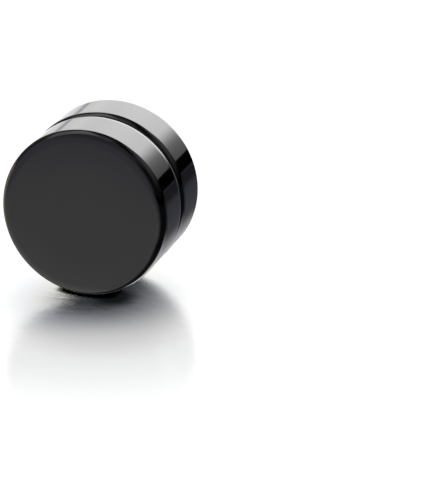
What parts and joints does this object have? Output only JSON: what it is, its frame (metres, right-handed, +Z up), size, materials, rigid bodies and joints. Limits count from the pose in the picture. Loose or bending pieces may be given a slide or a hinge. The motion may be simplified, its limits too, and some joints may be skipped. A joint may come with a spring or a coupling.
{
  "type": "magnetic earring",
  "caption": "Round black magnetic ear stud: a front disc and a back disc that hold each other through the ear lobe by magnets seated in their facing sides.",
  "frame": {"origin": "on the ground under the middle of the earring: the lowest point of the rims, halfway through the closed gap between the two discs", "axes": "+Z up, +Y along the shared axis of the discs from the front disc to the back disc, +X to the right of someone who looks at the front face"},
  "size_m": [0.008, 0.0054, 0.008],
  "materials": {
    "black_plating": "black vapour-deposited plating on steel: mirror-polished rim and edges, fine satin end faces",
    "magnet_plating": "bright nickel plating"
  },
  "bodies": {
    "front_half": {"front_disc": "black_plating", "front_magnet": "magnet_plating"},
    "back_half": {"back_disc": "black_plating", "back_magnet": "magnet_plating"}
  },
  "joints": [
    {"name": "back_half_pull", "type": "slide", "parent": "front_half", "child": "back_half", "axis": [0, 1, 0], "range_m": [0, 0.012]}
  ]
}
